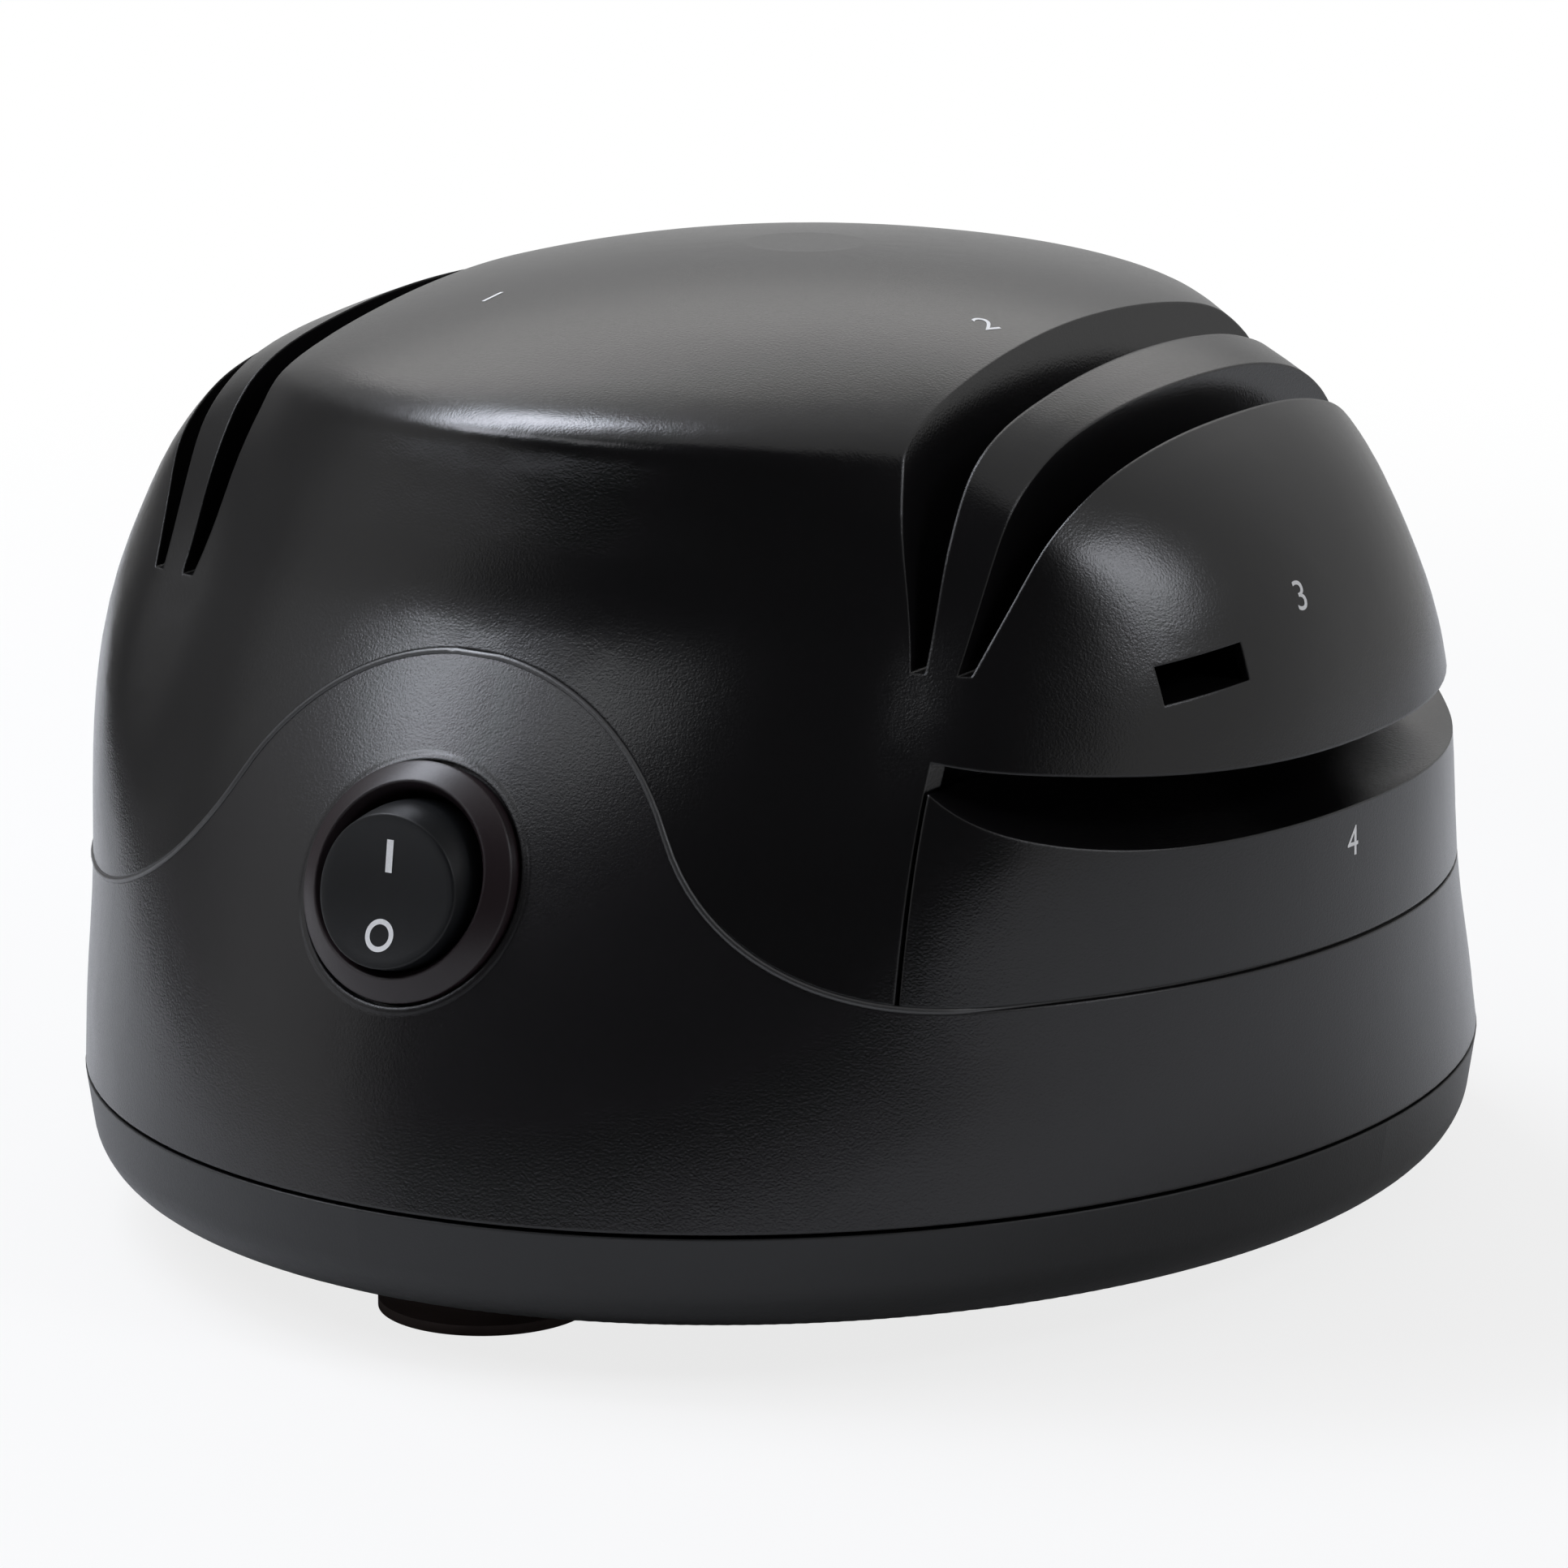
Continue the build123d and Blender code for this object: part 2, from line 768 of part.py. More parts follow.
def cradle_screws():
    seat = foot_drop + head_recess
    return small_screws(cradle_screw_places, seat, floor_z + screw_bite - seat, head_recess, True)


def strap_screws():
    seat = axis_z + ear_height
    return small_screws(strap_screw_places, seat, screw_bite + ear_height, small_head_height, False)


def board_screws():
    seat = board_z + board_thickness
    return small_screws(board_screw_places, seat, seat - floor_z, small_head_height, False)


save(bottom_cover(), "bottom_cover")
save(lower_housing(), "lower_housing")
save(upper_cover(), "upper_cover")
save(scissors_guide(), "scissors_guide")
for node, (x, y) in feet.items():
    save(suction_foot(x, y), node)
save(switch_body(), "switch_body")
save(switch_rocker(), "switch_rocker")
save(switch_terminals(), "switch_terminals")
save(cord_gland(), "cord_gland")
save(motor_can(), "motor_can")
save(motor_magnets(), "motor_magnets")
save(armature_core(), "armature_core")
save(armature_winding(), "armature_winding")
save(commutator(), "commutator")
save(brushes(), "brushes")
save(brush_holders(), "brush_holders")
save(motor_shaft(), "motor_shaft")
for side, name in ((-1, "left"), (1, "right")):
    save(motor_cap(side), "motor_cap_" + name)
    save(bearing(side), "bearing_" + name)
    save(wheel_hub(side), "wheel_hub_" + name)
    save(grinding_wheel(side), "grinding_wheel_" + name)
    save(wheel_washer(side), "wheel_washer_" + name)
    save(wheel_nut(side), "wheel_nut_" + name)
    save(motor_ring(side), "motor_ring_" + name)
    save(motor_strap(side), "motor_strap_" + name)
save(motor_cradle(), "motor_cradle")
save(control_board(), "control_board")
save(rectifier_block(), "rectifier_block")
save(case_screws(), "case_screws")
save(cradle_screws(), "cradle_screws")
save(strap_screws(), "strap_screws")
save(board_screws(), "board_screws")
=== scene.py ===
import json
import math
import bpy
import bmesh
from mathutils import Matrix, Vector
from mathutils.bvhtree import BVHTree


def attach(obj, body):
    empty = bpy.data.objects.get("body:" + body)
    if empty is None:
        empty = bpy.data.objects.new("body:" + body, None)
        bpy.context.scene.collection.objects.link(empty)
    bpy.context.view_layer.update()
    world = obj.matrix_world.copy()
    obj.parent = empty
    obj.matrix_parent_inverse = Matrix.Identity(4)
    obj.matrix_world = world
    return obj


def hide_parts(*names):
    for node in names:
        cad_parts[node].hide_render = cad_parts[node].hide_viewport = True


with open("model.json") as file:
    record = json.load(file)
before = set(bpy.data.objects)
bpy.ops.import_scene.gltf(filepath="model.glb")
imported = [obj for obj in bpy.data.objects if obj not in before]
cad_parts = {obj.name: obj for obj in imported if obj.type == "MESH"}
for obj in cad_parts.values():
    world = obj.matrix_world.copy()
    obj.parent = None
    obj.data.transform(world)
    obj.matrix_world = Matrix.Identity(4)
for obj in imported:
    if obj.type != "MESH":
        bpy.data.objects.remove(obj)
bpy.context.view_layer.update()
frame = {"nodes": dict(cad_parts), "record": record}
nodes = frame["nodes"]
scene = bpy.context.scene
scene.view_settings.view_transform = "Standard"
mm = 0.001
fullTurn = 2 * math.pi
print("frame loaded with", len(nodes), "nodes")


# way out from the object, in degrees round from the front and up
def outward(turn, rise):
    turn, rise = math.radians(turn), math.radians(rise)
    return Vector((math.sin(turn) * math.cos(rise), -math.cos(turn) * math.cos(rise), math.sin(rise)))


# camera, fitted to the base seam and the switch bezel
cameraSetup = {
    "azimuth": 31.9,
    "elevation": 13.715,
    "distance": 680 * mm,
    "target": Vector((-0.476, 0.0, 39.857)) * mm,
    "lens": 153.57,
    "sensor": 36.0,
    "nearest": 10 * mm,
}


def placeCamera(setup):
    away = outward(setup["azimuth"], setup["elevation"])
    data = bpy.data.cameras.new("camera")
    data.lens = setup["lens"]
    data.sensor_width = setup["sensor"]
    data.clip_start = setup["nearest"]
    camera = bpy.data.objects.new("camera", data)
    camera.location = setup["target"] + away * setup["distance"]
    camera.rotation_euler = (-away).to_track_quat("-Z", "Y").to_euler()
    scene.collection.objects.link(camera)
    scene.camera = camera


placeCamera(cameraSetup)


class Wire:
    # an output socket that takes part in sums
    def __init__(self, shade, socket):
        self.shade = shade
        self.socket = socket

    def calc(self, operation, other, swapped=False):
        pair = (other, self) if swapped else (self, other)
        return self.shade.add("ShaderNodeMath", {"operation": operation}, {0: pair[0], 1: pair[1]})

    def __add__(self, other):
        return self.calc("ADD", other)

    def __radd__(self, other):
        return self.calc("ADD", other, True)

    def __sub__(self, other):
        return self.calc("SUBTRACT", other)

    def __rsub__(self, other):
        return self.calc("SUBTRACT", other, True)

    def __mul__(self, other):
        return self.calc("MULTIPLY", other)

    def __rmul__(self, other):
        return self.calc("MULTIPLY", other, True)


class Shade:
    # one node tree, for a material or for the world
    noiseMiddle = 0.5

    def __init__(self, owner):
        owner.use_nodes = True
        self.owner = owner
        self.tree = owner.node_tree

    def add(self, kind, settings=None, sockets=None, out=0):
        node = self.tree.nodes.new(kind)
        for key, value in (settings or {}).items():
            setattr(node, key, value)
        for key, value in (sockets or {}).items():
            self.plug(node.inputs[key], value)
        return Wire(self, node.outputs[out])

    def plug(self, socket, value):
        if isinstance(value, Wire):
            self.tree.links.new(value.socket, socket)
        else:
            socket.default_value = value

    def surface(self, sockets):
        for key, value in sockets.items():
            self.plug(self.tree.nodes["Principled BSDF"].inputs[key], value)

    def where(self):
        return self.add("ShaderNodeTexCoord", out="Object")

    def noise(self, scale, detail):
        return self.add("ShaderNodeTexNoise", None, {"Vector": self.where(), "Scale": scale, "Detail": detail})

    def swing(self, noise, amount):
        return (noise - self.noiseMiddle) * amount

    def blend(self, amount, first, second):
        mix = {"Factor": amount, 6: first, 7: second}
        return self.add("ShaderNodeMix", {"data_type": "RGBA"}, mix, 2)

    def bump(self, height, depth, strength=1.0, around=None):
        sockets = {"Height": height, "Distance": depth, "Strength": strength}
        if around:
            sockets["Normal"] = around
        return self.add("ShaderNodeBump", None, sockets)

    def smoothRange(self, value, start, end):
        return self.add("ShaderNodeMapRange", {"interpolation_type": "SMOOTHSTEP"},
                        {"Value": value, "From Min": start, "From Max": end})


def rgb(*values):
    return (*values, 1.0)


# moulded plastic with a spark-eroded grain and softened edges
plasticGrain = {"grainDetail": 3.0, "pitDetail": 1.0, "cloudDetail": 3.0, "pitScale": 0.7, "grainShare": 0.65,
                "pitShare": 0.35, "cloudSwing": 0.08, "edgeSamples": 6}


def grainedPlastic(name, look):
    shade = Shade(bpy.data.materials.new(name))
    grain = shade.noise(look["grainScale"], plasticGrain["grainDetail"])
    pits = shade.noise(look["grainScale"] * plasticGrain["pitScale"], plasticGrain["pitDetail"])
    cloud = shade.noise(look["cloudScale"], plasticGrain["cloudDetail"])
    height = grain * plasticGrain["grainShare"] + pits * plasticGrain["pitShare"]
    rounded = shade.add("ShaderNodeBevel", {"samples": plasticGrain["edgeSamples"]}, {"Radius": look["edge"]})
    uneven = look["roughness"] + shade.swing(cloud, plasticGrain["cloudSwing"])
    shade.surface({
        "Base Color": shade.blend(cloud, rgb(*look["dark"]), rgb(*look["pale"])),
        "Roughness": uneven + shade.swing(grain, look["sparkle"]),
        "Normal": shade.bump(height, look["grainDepth"], around=rounded),
        "Specular IOR Level": look["specular"],
    })
    return shade.owner


coverLook = {"dark": (0.0036, 0.0033, 0.0037), "pale": (0.0048, 0.0045, 0.0049), "roughness": 0.22, "sparkle": 0.1,
             "grainScale": 4600, "grainDepth": 0.000027, "cloudScale": 45, "specular": 0.5, "edge": 0.00035}
housingLook = dict(coverLook, dark=(0.0068, 0.0062, 0.0069), pale=(0.0088, 0.0081, 0.0089), roughness=0.24)
baseLook = dict(coverLook, dark=(0.004, 0.004, 0.0043), pale=(0.0052, 0.0052, 0.0056), roughness=0.42)
bezelLook = {"dark": (0.0115, 0.0064, 0.0078), "pale": (0.015, 0.009, 0.0106), "roughness": 0.36, "sparkle": 0.1,
             "grainScale": 3600, "grainDepth": 0.000012, "cloudScale": 120, "specular": 0.42, "edge": 0.0003}
rockerLook = {"dark": (0.0042, 0.0046, 0.0053), "pale": (0.0058, 0.0063, 0.0071), "roughness": 0.4, "sparkle": 0.12,
              "grainScale": 4200, "grainDepth": 0.00001, "cloudScale": 150, "specular": 0.29, "edge": 0.0003}
# partly painted highlight: the lip is the housing's real rounded edge, with plastic paler than the housing's so
# that it shows a bright line
lipHighlightLook = dict(coverLook, dark=(0.02, 0.0195, 0.02), pale=(0.028, 0.0275, 0.028), roughness=0.32, specular=0.8)
cradleLook = dict(coverLook, dark=(0.05, 0.05, 0.052), pale=(0.065, 0.065, 0.068))


# rubber with a dusty bloom
def rubberFinish(name, look):
    shade = Shade(bpy.data.materials.new(name))
    bloom = shade.noise(look["bloomScale"], look["bloomDetail"])
    texture = shade.noise(look["skinScale"], look["skinDetail"])
    shade.surface({
        "Base Color": shade.blend(bloom, rgb(*look["dark"]), rgb(*look["dusty"])),
        "Roughness": look["roughness"] + shade.swing(bloom, look["bloomSwing"]),
        "Normal": shade.bump(texture, look["skinDepth"]),
        "Specular IOR Level": look["specular"],
    })
    return shade.owner


# partly painted light: the foot's brownish rubber is made paler than its own tone, so that its shaded front renders
# lighter
footLook = {"dark": (0.075, 0.052, 0.047), "dusty": (0.11, 0.08, 0.072), "roughness": 0.6, "bloomScale": 160,
            "bloomDetail": 4.0, "bloomSwing": 0.2, "skinScale": 1800, "skinDetail": 2.0, "skinDepth": 0.00002,
            "specular": 0.35}
glandLook = dict(footLook, dark=(0.011, 0.01, 0.01), dusty=(0.02, 0.0185, 0.018))
# painted shade: near-black matt look for the sheet in the screwdriver slot, built with the rubber finish
slotShadeLook = dict(footLook, dark=(0.0008, 0.0008, 0.0008), dusty=(0.0014, 0.0013, 0.0013), roughness=0.9,
                  specular=0.05)

# bare metals, brushed along one axis, under their slot names
brushing = {"stretch": (0.08, 1.0, 1.0), "lineScale": 1600, "lineDetail": 3.0, "lineSwing": 0.25,
            "lineDepth": 0.00001, "lineStrength": 0.6, "stainScale": 90, "stainDetail": 4.0}


def brushedMetal(name, look):
    shade = Shade(bpy.data.materials.new(name))
    stretch = shade.add("ShaderNodeMapping", None, {"Vector": shade.where(), "Scale": brushing["stretch"]})
    lines = shade.add("ShaderNodeTexNoise", None, {"Vector": stretch, "Scale": brushing["lineScale"],
                                                   "Detail": brushing["lineDetail"]})
    stain = shade.noise(brushing["stainScale"], brushing["stainDetail"])
    shade.surface({
        "Base Color": shade.blend(stain, rgb(*look["dark"]), rgb(*look["pale"])),
        "Roughness": look["roughness"] + shade.swing(lines, brushing["lineSwing"]),
        "Normal": shade.bump(lines, brushing["lineDepth"], brushing["lineStrength"]),
        "Metallic": look["metallic"],
    })
    return shade.owner


metalLooks = {
    "brass": {"dark": (0.5, 0.33, 0.12), "pale": (0.66, 0.47, 0.2), "roughness": 0.32, "metallic": 1.0},
    "steel": {"dark": (0.42, 0.42, 0.43), "pale": (0.56, 0.56, 0.57), "roughness": 0.34, "metallic": 1.0},
    "laminate_steel": {"dark": (0.13, 0.13, 0.14), "pale": (0.2, 0.2, 0.21), "roughness": 0.5, "metallic": 0.9},
    "copper": {"dark": (0.36, 0.13, 0.05), "pale": (0.5, 0.2, 0.08), "roughness": 0.3, "metallic": 0.9},
    "ferrite": {"dark": (0.02, 0.02, 0.021), "pale": (0.04, 0.04, 0.042), "roughness": 0.6, "metallic": 0.3},
    "carbon": {"dark": (0.012, 0.012, 0.012), "pale": (0.025, 0.025, 0.026), "roughness": 0.55, "metallic": 0.2},
    "alloy": {"dark": (0.46, 0.46, 0.48), "pale": (0.6, 0.6, 0.62), "roughness": 0.42, "metallic": 1.0},
    "bronze": {"dark": (0.3, 0.18, 0.08), "pale": (0.42, 0.27, 0.12), "roughness": 0.45, "metallic": 0.9},
}


def camelCase(slotName):
    first, *rest = slotName.split("_")
    return first + "".join(word.capitalize() for word in rest)


# bonded grit of the grinding wheels
def gritFinish(name, look):
    shade = Shade(bpy.data.materials.new(name))
    cells = {"Vector": shade.where(), "Scale": look["gritScale"]}
    grit = shade.add("ShaderNodeTexVoronoi", None, cells, "Distance")
    fleck = shade.noise(look["fleckScale"], look["fleckDetail"])
    shade.surface({
        "Base Color": shade.blend(fleck, rgb(*look["bond"]), rgb(*look["grain"])),
        "Roughness": look["roughness"] + shade.swing(grit, look["gritSwing"]),
        "Normal": shade.bump(grit, look["gritDepth"]),
    })
    return shade.owner


wheelLook = {"bond": (0.035, 0.033, 0.031), "grain": (0.11, 0.105, 0.1), "roughness": 0.75, "gritScale": 3200,
             "gritSwing": 0.2, "gritDepth": 0.00006, "fleckScale": 1600, "fleckDetail": 2.0}


# woven laminate of the control board
def boardFinish(name, look):
    shade = Shade(bpy.data.materials.new(name))
    threads = {"Vector": shade.where(), "Scale": look["weave"]}
    across, along = (shade.add("ShaderNodeTexWave", {"bands_direction": way}, threads, "Fac") for way in "XY")
    weave = across * along
    shade.surface({
        "Base Color": shade.blend(weave, rgb(*look["dark"]), rgb(*look["pale"])),
        "Roughness": look["roughness"] + weave * look["weaveSwing"],
        "Normal": shade.bump(weave, look["weaveDepth"], look["weaveStrength"]),
    })
    return shade.owner


boardLook = {"dark": (0.01, 0.06, 0.02), "pale": (0.015, 0.09, 0.03), "roughness": 0.4, "weave": 400,
             "weaveSwing": 0.1, "weaveDepth": 0.00001, "weaveStrength": 0.5}


# screen-printed white
def printFinish(name, look):
    shade = Shade(bpy.data.materials.new(name))
    speck = shade.noise(look["speckScale"], look["speckDetail"])
    shade.surface({
        "Base Color": shade.blend(speck, rgb(*look["thin"]), rgb(*look["full"])),
        "Roughness": look["roughness"] + shade.swing(speck, look["speckSwing"]),
        "Specular IOR Level": look["specular"],
    })
    return shade.owner


printLook = {"thin": (0.7, 0.7, 0.7), "full": (0.86, 0.86, 0.86), "roughness": 0.5, "specular": 0.3,
             "speckScale": 5000, "speckDetail": 2.0, "speckSwing": 0.2}

finishes = {
    "cover_plastic": grainedPlastic("coverPlastic", coverLook),
    "housing_plastic": grainedPlastic("housingPlastic", housingLook),
    "switch_plastic": grainedPlastic("bezelPlastic", bezelLook),
    "rocker_plastic": grainedPlastic("rockerPlastic", rockerLook),
    "cradle_plastic": grainedPlastic("cradlePlastic", cradleLook),
    "component_black": grainedPlastic("componentCase", rockerLook),
    "rubber": rubberFinish("footRubber", footLook),
    "abrasive": gritFinish("wheelGrit", wheelLook),
    "board": boardFinish("boardLaminate", boardLook),
}
for slotName, look in metalLooks.items():
    finishes[slotName] = brushedMetal(camelCase(slotName) + "Finish", look)
ownFinishes = {
    "bottom_cover": grainedPlastic("basePlastic", baseLook),
    "cord_gland": rubberFinish("glandRubber", glandLook),
}
whitePrint = printFinish("whitePrint", printLook)
# painted shade for the sheet in the screwdriver slot
slotShadeFinish = rubberFinish("slotPaintedShade", slotShadeLook)
lipHighlightFinish = grainedPlastic("lipHighlightPlastic", lipHighlightLook)

for part in frame["record"]["subparts"]:
    piece = nodes[part["node"]]
    finish = ownFinishes.get(part["node"], finishes[part["material_slot"]])
    piece.data.materials.clear()
    piece.data.materials.append(finish)


# skin between rims of points, each rim one point or a full turn
def skin(mesh, rims, closed=False):
    rings = [[mesh.verts.new(point) for point in rim] for rim in rims]
    pairs = list(zip(rings, rings[1:])) + ([(rings[-1], rings[0])] if closed else [])
    for low, high in pairs:
        count = max(len(low), len(high))
        for step in range(count):
            after = (step + 1) % count
            corners = [low[step % len(low)], low[after % len(low)],
                       high[after % len(high)], high[step % len(high)]]
            mesh.faces.new(list(dict.fromkeys(corners)))
    return mesh


def addPiece(name, mesh, finish, body, sharpest=32):
    mesh.normal_update()
    for face in mesh.faces:
        face.smooth = True
    for edge in mesh.edges:
        edge.smooth = edge.calc_face_angle(0.0) < math.radians(sharpest)
    data = bpy.data.meshes.new(name)
    mesh.to_mesh(data)
    mesh.free()
    data.materials.append(finish)
    piece = bpy.data.objects.new(name, data)
    scene.collection.objects.link(piece)
    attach(piece, body)
    return piece


# mesh of an object as its curve or modifiers make it
def madeMesh(holder):
    bpy.context.view_layer.update()
    return bpy.data.meshes.new_from_object(holder.evaluated_get(bpy.context.evaluated_depsgraph_get()))


def surfaceOf(piece):
    mesh = piece.data
    return BVHTree.FromPolygons([v.co.copy() for v in mesh.vertices], [tuple(p.vertices) for p in mesh.polygons])


# flat mesh in a local plane, dropped along the plane's normal onto the host
def layPrint(name, builder, place, host, body, lift=0.03 * mm, reach=12 * mm):
    mesh = bmesh.new()
    builder(mesh)
    ground = surfaceOf(host)
    down = -(place.to_3x3() @ Vector((0, 0, 1))).normalized()
    for vert in mesh.verts:
        start = place @ vert.co - down * reach
        hit = ground.ray_cast(start, down, 2 * reach)[0]
        vert.co = (hit if hit else place @ vert.co) - down * lift
    return addPiece(name, mesh, whitePrint, body)


def planeAt(origin, right, out):
    out = Vector(out).normalized()
    right = (Vector(right) - out * Vector(right).dot(out)).normalized()
    up = out.cross(right)
    place = Matrix((right, up, out)).transposed().to_4x4()
    place.translation = Vector(origin)
    return place


def turns(steps):
    return [fullTurn * step / steps for step in range(steps)]


def polar(radius, a, height=0.0):
    return Vector((radius * math.cos(a), radius * math.sin(a), height))


def turnedRims(profile, place, steps):
    return [[place @ (polar(radius, a, height) * mm) for a in (turns(steps) if radius else [0.0])]
            for radius, height in profile]


switchPlace = {"origin": Vector((0.0, -67.3, 44.5)) * mm, "tilt": math.radians(21.7)}
switchPlane = planeAt(switchPlace["origin"], (1, 0, 0),
                      (0, -math.cos(switchPlace["tilt"]), math.sin(switchPlace["tilt"])))

# switch body with a wide bezel that rises to a rolled lip, in mm from the switch plane
switchBody = {
    "profile": [(0, -17.2), (9.9, -17.2), (9.9, -2.2), (11.5, -2.2), (11.5, -0.1), (11.46, 0.02), (11.36, 0.1),
                (9.55, 1.3), (9.4, 1.36), (9.25, 1.3), (8.75, 0.6), (8.66, 0.35), (8.6, 0.0), (8.6, -10.2),
                (0, -10.2)],
    "steps": 96,
}
bodyMesh = skin(bmesh.new(), turnedRims(switchBody["profile"], switchPlane, switchBody["steps"]))
bodyPiece = addPiece("switchBody", bodyMesh, finishes["switch_plastic"], "housing")
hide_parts("switch_body")

# rim of the housing round the bezel: takes the surface on inwards to a narrow gap, in mm
switchRim = {"inner": 11.8, "outer": 13.5, "top": (13.2, 12.9, 12.6, 12.4, 12.2, 12.0, 11.9),
             "edge": ((11.83, 0.05), (11.8, 0.15)), "hole": 12.45, "seat": -2.15, "probe": (12.75, 14.75),
             "level": 12.86, "dive": 0.028, "sunk": 0.07, "steps": 96, "reach": 9.0}


def housingRim(setup):
    ground = surfaceOf(nodes["lower_housing"])
    down = -(switchPlane.to_3x3() @ Vector((0, 0, 1)))
    near, far = setup["probe"]
    hole, outer = setup["hole"], setup["outer"]

    def heightAt(radius, a):
        start = switchPlane @ (polar(radius, a, setup["reach"]) * mm)
        return setup["reach"] - ground.ray_cast(start, down)[3] / mm

    def column(a):
        level = heightAt(near, a)
        slope = (heightAt(far, a) - level) / (far - near)

        def top(radius):
            return level + slope * (radius - near)

        profile = [(setup["inner"], setup["seat"]), (hole, setup["seat"]),
                   (hole, top(hole) - setup["sunk"]), (outer, top(outer) - setup["sunk"])]
        profile += [(radius, top(radius) - setup["dive"] * (radius - setup["level"]))
                    for radius in (outer, *setup["top"])]
        profile += [(radius, top(radius) - drop) for radius, drop in setup["edge"]]
        return [switchPlane @ (polar(radius, a, height) * mm) for radius, height in profile]

    return list(zip(*(column(a) for a in turns(setup["steps"]))))


rimMesh = skin(bmesh.new(), housingRim(switchRim), closed=True)
addPiece("switchRim", rimMesh, finishes["housing_plastic"], "housing")

# rocker with a smooth hollow face, in mm from its pivot
rockerShape = {"pivotDeep": 2.0, "restTilt": 9.0, "half": (7.6, 7.3), "down": 0.6, "middle": 5.1, "dish": 0.8,
               "rings": (0.15, 0.3, 0.45, 0.6, 0.75, 0.87, 0.95),
               "roll": ((0.978, 0.03), (0.993, 0.12), (1.0, 0.32)), "wall": 8.15,
               "wallSteps": (0.2, 0.4, 0.6, 0.8, 1.0), "foot": (7.6, -3.2), "steps": 96}
rockerPlane = (switchPlane @ Matrix.Translation((0, 0, -rockerShape["pivotDeep"] * mm))
               @ Matrix.Rotation(math.radians(rockerShape["restTilt"]), 4, "X"))


def rockerRims(shape):
    wide, tall = shape["half"]

    def rim(part, drop, wall=0.0):
        swell = math.sin(wall * math.pi / 2)
        points = []
        for a in turns(shape["steps"]):
            x, y = part * wide * math.cos(a), part * tall * math.sin(a) - shape["down"]
            z = shape["middle"] + shape["dish"] * (y / tall) ** 2 - drop
            x += (shape["wall"] * math.cos(a) - x) * swell
            y += (shape["wall"] * math.sin(a) - y) * swell
            points.append(rockerPlane @ (Vector((x, y, z * (1 - wall))) * mm))
        return points

    footRadius, footDeep = shape["foot"]
    rims = turnedRims([(0, footDeep), (footRadius, footDeep)], rockerPlane, shape["steps"])
    rims += [rim(1.0, shape["roll"][-1][1], wall) for wall in reversed(shape["wallSteps"])]
    rims += [rim(part, drop) for part, drop in reversed(shape["roll"])]
    rims += [rim(part, 0.0) for part in reversed(shape["rings"])]
    rims.append([sum((Vector(point) for point in rims[-1]), Vector()) / shape["steps"]])
    return rims


rockerMesh = skin(bmesh.new(), rockerRims(rockerShape))
rockerPiece = addPiece("rockerPaddle", rockerMesh, finishes["rocker_plastic"], "rocker")
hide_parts("switch_rocker")
print("switch body, rim and rocker made")

# painted shade: a dark matt sheet inside the screwdriver slot, where there is only shade, in mm
slotPaintedShade = {"origin": (61.3, -26.3, 63.9), "turn": -27.0, "roll": 6.0, "half": (5.07, 1.72), "wall": 0.08,
              "mouth": -1.0, "end": -16.9}


def shadeSheetRims(setup):
    turn = math.radians(setup["turn"])
    right, out = (-math.sin(turn), math.cos(turn), 0), (math.cos(turn), math.sin(turn), 0)
    place = planeAt(Vector(setup["origin"]) * mm, right, out)
    place = place @ Matrix.Rotation(math.radians(setup["roll"]), 4, "Z")

    def rim(inset, height):
        wide, tall = (half - inset for half in setup["half"])
        return [place @ (Vector((x, y, height)) * mm)
                for x, y in ((wide, tall), (-wide, tall), (-wide, -tall), (wide, -tall))]

    def middle(height):
        return [place @ (Vector((0, 0, height)) * mm)]

    mouth, end, wall = setup["mouth"], setup["end"], setup["wall"]
    return [middle(end), rim(0, end), rim(0, mouth), rim(wall, mouth), rim(wall, end + wall), middle(end + wall)]


# painted shade: the dark sheet that fills the screwdriver slot
addPiece("driverSlotShadeSheet", skin(bmesh.new(), shadeSheetRims(slotPaintedShade)), slotShadeFinish, "housing")

# lip along the wavy top edge of the lower housing, in mm: it sinks on the wide sides
seamLip = {"radius": 0.34, "sides": 8, "sunk": 0.1, "below": 0.25, "raised": 0.45, "steps": 480, "crest": 64.0,
           "side": 35.0, "crestRadius": 28.0, "halfWidth": 51.0, "start": 150.0, "attempts": 24, "relax": 0.6,
           "sunkWide": 0.8, "fadeLeft": 58.0, "fadeRight": 49.0, "fadeOver": 7.0, "sharpest": 80}


# the seam's two tangent arcs, level past them
def waveHeight(setup, across):
    drop = setup["crest"] - setup["side"]
    bothRadii = (drop ** 2 + setup["halfWidth"] ** 2) / (2 * drop)
    blendRadius = bothRadii - setup["crestRadius"]
    offset = min(abs(across), setup["halfWidth"])
    if offset <= setup["halfWidth"] * setup["crestRadius"] / bothRadii:
        return setup["crest"] - setup["crestRadius"] + math.sqrt(setup["crestRadius"] ** 2 - offset ** 2)
    return setup["side"] + blendRadius - math.sqrt(blendRadius ** 2 - (setup["halfWidth"] - offset) ** 2)


# points on the housing just under its edge, found by rays that climb to the seam
def seamPath(setup):
    ground = surfaceOf(nodes["lower_housing"])
    up = Vector((0, 0, 1))
    points = []
    for a in turns(setup["steps"]):
        way = polar(1, a)
        height = setup["side"] - setup["below"]
        for _ in range(setup["attempts"]):
            found, facing = ground.ray_cast((way * setup["start"] + up * height) * mm, -way)[:2]
            if found is None or found.dot(way) < 0:
                break
            hit, normal = found, facing
            height += (waveHeight(setup, hit.x / mm) - setup["below"] - height) * setup["relax"]
        fadeFrom = setup["fadeRight"] if hit.x > 0 else setup["fadeLeft"]
        wide = min(max((abs(hit.x) / mm - fadeFrom) / setup["fadeOver"], 0.0), 1.0)
        inward = normal * (setup["sunk"] + (setup["sunkWide"] - setup["sunk"]) * wide)
        uphill = up - normal * normal.z
        points.append(hit + (uphill * (setup["raised"] / uphill.z) - inward) * mm)
    return points


